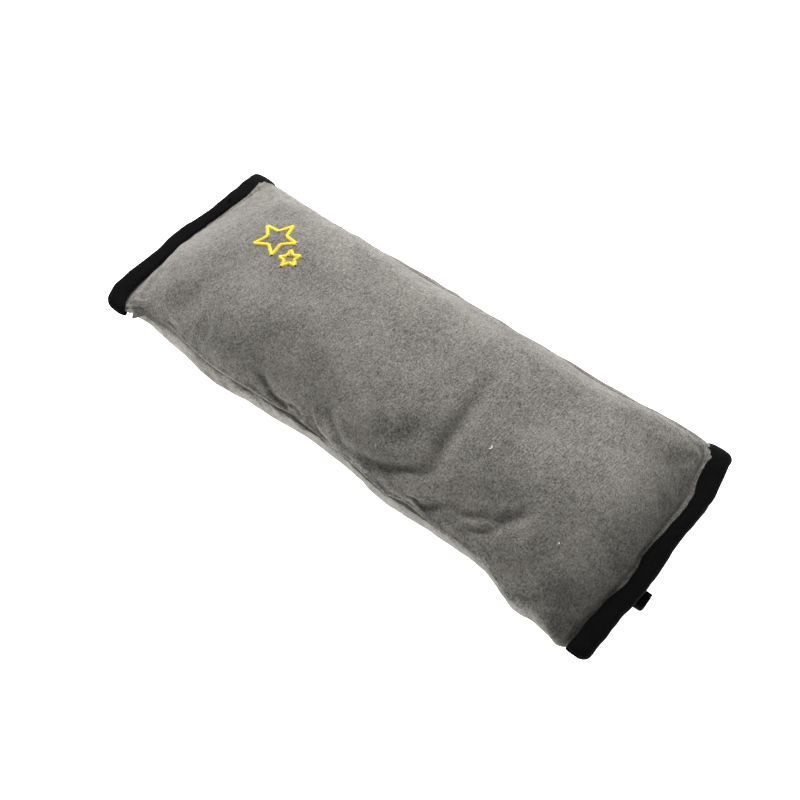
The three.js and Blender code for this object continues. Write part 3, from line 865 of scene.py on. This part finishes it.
def folded_over(piece):
    """The right end of the flap's edge tape, folded over to a thicker tail."""
    points = read_points(piece.data)
    tail = ramp(points[:, 0], TAIL_FROM, TAIL_TO)
    points[:, 0] += TAIL_LONGER * tail
    points[:, 2] *= 1 + TAIL_THICKER * tail
    write_points(piece.data, points)


def folded_cloth(piece):
    """Gives the flap its soft waves at the fold, and the notch where its seam is caught in."""
    points = read_points(piece.data) / MM
    normals = read_points(piece.data, "normal")
    x, y, z = points.T
    rim = np.interp(x, *FOLD_RIM)
    fold = ramp(y, rim - 14, rim - 2)
    inner = 1 - ramp(np.abs(x), 120, 134)
    waves = (wavering(x, 9, 21) * 0.35 + wavering(x, 30, 22) * 0.5) * fold * inner
    waves += lumpy(points * MM, 45, 6) * 0.3 * (1 - fold) * inner * (normals[:, 2] < -0.5)
    waves = np.where(normals[:, 2] < -0.5, np.minimum(waves, 0), waves)
    points += normals * waves[:, None]
    points[:, 1] -= NOTCH_DEPTH * 1.1 * caught_in(x, z) * ramp(y, rim - 10, rim - 4)
    points[:, 1] += np.interp(x, *FOLD_SHIFTS) * fold
    write_points(piece.data, points * MM)


folded_over(flap_binding)
folded_cloth(flap)


# Stitching, embroidery and stray fibres

chance = random.Random(29)

# The motif: where it lies before the end's bow, and the line from one star to the other
MOTIF = Vector((-81, 9.5)) * MM
MOTIF_LINE = math.radians(-25)
STARS_APART = 16.5                  # mm between the stars' middles
STAR_WAIST = 0.45                   # radius of the inner corners, as a share of the points'
SATIN_PITCH = 0.34 * MM
SATIN_SUNK = 0.12 * MM              # both feet of a satin thread go this deep into the cloth
SATIN_SLANT = (0.25, 0.07)          # turn of its threads, and how much that varies, in radians
SATIN_WIDTHS = (0.94, 1.08)         # narrowest and widest, as a share of the plain width

TAPE_PITCH = 3.2 * MM               # stitch lengths with their gaps
STRIP_PITCH = 3.0 * MM
TAPE_SEAM_INSET = 1.4 * MM          # from an end tape's inner edge to its stitches
EDGE_SEAM_INSET = 1.6 * MM          # the same for the edge tape
STRIP_SEAM_INSET = 1.5 * MM         # and for both strips
STITCH_WANDER = 0.08 * MM
UNDERSIDE_SUNK = 0.22 * MM          # stitches below lie this deep, clear of the table


def search_tree(*pieces):
    """One tree for ray casts on all these pieces."""
    bm = bmesh.new()
    for piece in pieces:
        bm.from_mesh(piece.data)
    tree = BVHTree.FromBMesh(bm)
    bm.free()
    return tree


def seat(tree, x, y, towards_x, towards_y, above=True):
    """A frame on the surface at x, y: X across the line of stitches, Y along it, Z out of it."""
    down = Vector((0, 0, -1 if above else 1))
    place, normal = tree.ray_cast(Vector((x, y, -down.z * 0.2)), down)[:2]
    if normal.dot(down) > 0:
        normal = -normal
    along = Vector((towards_x, towards_y, 0))
    along = (along - normal * along.dot(normal)).normalized()
    across = along.cross(normal)
    frame_of = Matrix((across, along, normal)).transposed().to_4x4()
    frame_of.translation = place
    return frame_of


def repeated(name, shape, places, material):
    """One object with the same small mesh at every place."""
    bm = bmesh.new()
    for place in places:
        count = len(bm.verts)
        bm.from_mesh(shape)
        bm.verts.ensure_lookup_table()
        bmesh.ops.transform(bm, matrix=place, verts=bm.verts[count:])
    bpy.data.meshes.remove(shape)
    piece = piece_from(name, bm, material)
    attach(piece, "root")
    return piece


def arched_thread(width, rise, thread):
    """One thread of satin stitch, arched from side to side."""
    bm = bmesh.new()
    bmesh.ops.create_circle(bm, segments=6, radius=thread / 2,
                            matrix=Matrix.Translation((width / 2, 0, 0)))
    bmesh.ops.spin(bm, geom=bm.verts[:] + bm.edges[:], cent=(0, 0, 0), axis=(0, 1, 0),
                   angle=-math.pi, steps=7)
    bmesh.ops.scale(bm, verts=bm.verts, vec=(1, 1, 2 * rise / width))
    mesh = bpy.data.meshes.new("arched_thread")
    bm.to_mesh(mesh)
    bm.free()
    return mesh


def sunk_stitch(length, thread):
    """One lockstitch, lying in the cloth."""
    bm = bmesh.new()
    bmesh.ops.create_uvsphere(bm, u_segments=6, v_segments=5, radius=0.5)
    bmesh.ops.scale(bm, verts=bm.verts, vec=(thread, length, thread))
    mesh = bpy.data.meshes.new("sunk_stitch")
    bm.to_mesh(mesh)
    bm.free()
    return mesh


def star_corners(middle, radius, first_point):
    """Points and inner corners of a five-pointed star, its first point at this angle."""
    found = []
    for i in range(10):
        turn = math.radians(first_point + 36 * i)
        reach = radius if i % 2 == 0 else radius * STAR_WAIST
        found.append(middle + Vector((math.cos(turn), math.sin(turn))) * reach)
    return found


def satin_star(name, node, along, radius, first_point, tree):
    """A five-pointed outline of satin stitch, this far along the motif's line, in mm."""
    middle = MOTIF + Vector((math.cos(MOTIF_LINE), math.sin(MOTIF_LINE))) * along * MM
    middle.x += bow_at(middle.x, middle.y) + MIDDLE_X
    corners = star_corners(middle, radius * MM, first_point)
    places = []
    for start, end in zip(corners, corners[1:] + corners[:1]):
        run = end - start
        count = round(run.length / SATIN_PITCH)
        for k in range(count):
            spot = start.lerp(end, (k + 0.5) / count)
            turned = run.copy()
            turned.rotate(Matrix.Rotation(chance.gauss(*SATIN_SLANT), 2))
            place = seat(tree, spot.x, spot.y, turned.x, turned.y)
            places.append(place @ Matrix.Translation((0, 0, -SATIN_SUNK))
                          @ Matrix.Diagonal((chance.uniform(*SATIN_WIDTHS), 1, 1, 1)))
    shape = arched_thread(width=1.75 * MM, rise=0.75 * MM, thread=0.4 * MM)
    star = repeated(name, shape, places, YELLOW_THREAD)
    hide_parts(node)


pad_tree = search_tree(pad)
satin_star("large_star", "large_star_stitching", -STARS_APART / 3, 11, 12, pad_tree)
satin_star("small_star", "small_star_stitching", STARS_APART * 2 / 3, 5.5, -20, pad_tree)


def stitch_row(tree, points, pitch, above=True):
    """Places for stitches along a line of points, seen from above or from below."""
    sunk = 0 if above else -UNDERSIDE_SUNK
    lengths = [0.0]
    for a, b in zip(points, points[1:]):
        lengths.append(lengths[-1] + (b - a).length)
    found = []
    for k in range(int(lengths[-1] / pitch)):
        at = (k + 0.5) * pitch
        i = next(n for n in range(1, len(lengths)) if lengths[n] >= at)
        run = points[i] - points[i - 1]
        spot = points[i - 1] + run * ((at - lengths[i - 1]) / (lengths[i] - lengths[i - 1]))
        wander = chance.gauss(0, STITCH_WANDER)
        place = seat(tree, spot.x + wander, spot.y, run.x, run.y, above)
        found.append(place @ Matrix.Translation((0, 0, sunk)))
    return found


def mouth_line(side):
    """The line of stitches that closes an end tape on the cloth, beside its inner edge."""
    half_width = HALF_WIDTHS[0] if side < 0 else HALF_WIDTHS[1]
    edges = LEFT_EDGES if side < 0 else RIGHT_EDGES
    found = []
    steps = 48
    for k in range(steps + 1):
        y = (half_width - 3 * MM) * (2 * k / steps - 1)
        x = MIDDLE_X + side * (TAPE_MOUTH + TAPE_SEAM_INSET)
        inner_shift = edge_shifts(y / MM, edges)[1]
        found.append(Vector((x + bow_at(x, y) + inner_shift * MM, y)))
    return found


tape_rows = []
for side, piece in ((-1, left_binding), (1, right_binding)):
    tape_tree = search_tree(piece)
    for above in (True, False):
        tape_rows += stitch_row(tape_tree, mouth_line(side), TAPE_PITCH, above)
edge_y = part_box("flap_edge_tape")[1].y - EDGE_SEAM_INSET
edge_line = [Vector((x * MM, edge_y)) for x in range(-129, 130, 3)]
tape_rows += stitch_row(search_tree(flap_binding), edge_line, TAPE_PITCH, above=False)
tape_stitch = sunk_stitch(length=2.6 * MM, thread=0.4 * MM)
repeated("tape_stitches", tape_stitch, tape_rows, BLACK_THREAD)

flap_tree = search_tree(flap, flap_binding)
hook_low, hook_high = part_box("hook_strip")
strip_rows = []
for y in (hook_low.y + STRIP_SEAM_INSET, hook_high.y - STRIP_SEAM_INSET):
    ends = (hook_low.x + STRIP_SEAM_INSET, hook_high.x - STRIP_SEAM_INSET)
    line = [Vector((lerp(*ends, k / 60), y)) for k in range(61)]
    strip_rows += stitch_row(flap_tree, line, STRIP_PITCH, above=False)
strip_stitch = sunk_stitch(length=2.3 * MM, thread=0.35 * MM)
repeated("strip_stitches", strip_stitch, strip_rows, GREY_THREAD)


def fibre(name, tree, spots, thickness, material):
    """A few short curled fibres on a surface. A spot is x, y, heading, radius and turn."""
    bm = bmesh.new()
    for x, y, heading, radius, turn in spots:
        count = len(bm.verts)
        ring = bmesh.ops.create_circle(
            bm, segments=6, radius=thickness / 2 * MM,
            matrix=Matrix.Translation((radius * MM, 0, 0)) @ Matrix.Rotation(math.pi / 2, 4, "X"))
        edges = list({edge for vert in ring["verts"] for edge in vert.link_edges})
        bmesh.ops.spin(bm, geom=ring["verts"] + edges, cent=(0, 0, 0), axis=(0, 0, 1),
                       angle=math.radians(turn), steps=10)
        bm.verts.ensure_lookup_table()
        angle = math.radians(heading)
        place = seat(tree, x * MM, y * MM, math.cos(angle), math.sin(angle))
        bmesh.ops.transform(bm, matrix=place @ Matrix.Translation((0, 0, thickness * 0.3 * MM)),
                            verts=bm.verts[count:])
    piece = piece_from(name, bm, material)
    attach(piece, "root")
    return piece


lint_spots = [(60.0, -17.2, 20, 1.3, 70), (60.1, -17.1, 50, 0.9, 90),
              (105.5, -31.8, 60, 0.7, 80)]
fibre("lint", pad_tree, lint_spots, 0.5, LINT)
thread_spots = [(-136.2, 27.5, 10, 1.0, 230), (-135.8, 26.2, 120, 1.6, 90),
                (-135.6, 7.6, 45, 1.8, 80), (-135.0, -14, 100, 1.2, 70)]
fibre("loose_thread", search_tree(left_binding, pad), thread_spots, 0.35, BLACK_THREAD)


# Floor, light and camera

def studio():
    """A white table, an even white surrounding and one large lamp from the far left."""
    bm = bmesh.new()
    bmesh.ops.create_grid(bm, x_segments=1, y_segments=1, size=4)
    material, _, shader, _ = new_material("white_table", (0.9, 0.9, 0.9), 0.9)
    shader.inputs["Emission Color"].default_value = (1, 1, 1, 1)
    shader.inputs["Emission Strength"].default_value = 1.6
    floor = piece_from("table", bm, material)
    world = bpy.data.worlds.new("studio")
    world.use_nodes = True
    world.node_tree.nodes["Background"].inputs["Color"].default_value = (1, 1, 1, 1)
    world.node_tree.nodes["Background"].inputs["Strength"].default_value = 0.42
    bpy.context.scene.world = world
    key = bpy.data.lights.new("softbox", "AREA")
    key.shape = "RECTANGLE"
    key.size, key.size_y = 0.7, 0.5
    key.energy = 10.5
    lamp = bpy.data.objects.new("softbox", key)
    lamp.location = (-0.40, 0.52, 0.52)
    lamp.rotation_euler = (Vector((0, 0, 0)) - lamp.location).to_track_quat("-Z", "Y").to_euler()
    bpy.context.scene.collection.objects.link(lamp)


def camera():
    """The photo's view."""
    azimuth, elevation = math.radians(38.4), math.radians(59.0)
    target = Vector((6.1, -9.9, 13.0)) * MM
    distance = 485 * MM
    away = Vector((math.sin(azimuth) * math.cos(elevation),
                   -math.cos(azimuth) * math.cos(elevation), math.sin(elevation)))
    data = bpy.data.cameras.new("camera")
    data.sensor_width = 36
    data.lens = 47.25
    data.clip_start = 0.01
    eye = bpy.data.objects.new("camera", data)
    eye.location = target + away * distance
    eye.rotation_euler = (-away).to_track_quat("-Z", "Y").to_euler()
    bpy.context.scene.collection.objects.link(eye)
    bpy.context.scene.camera = eye


studio()
camera()
bpy.context.scene.view_settings.view_transform = "Standard"
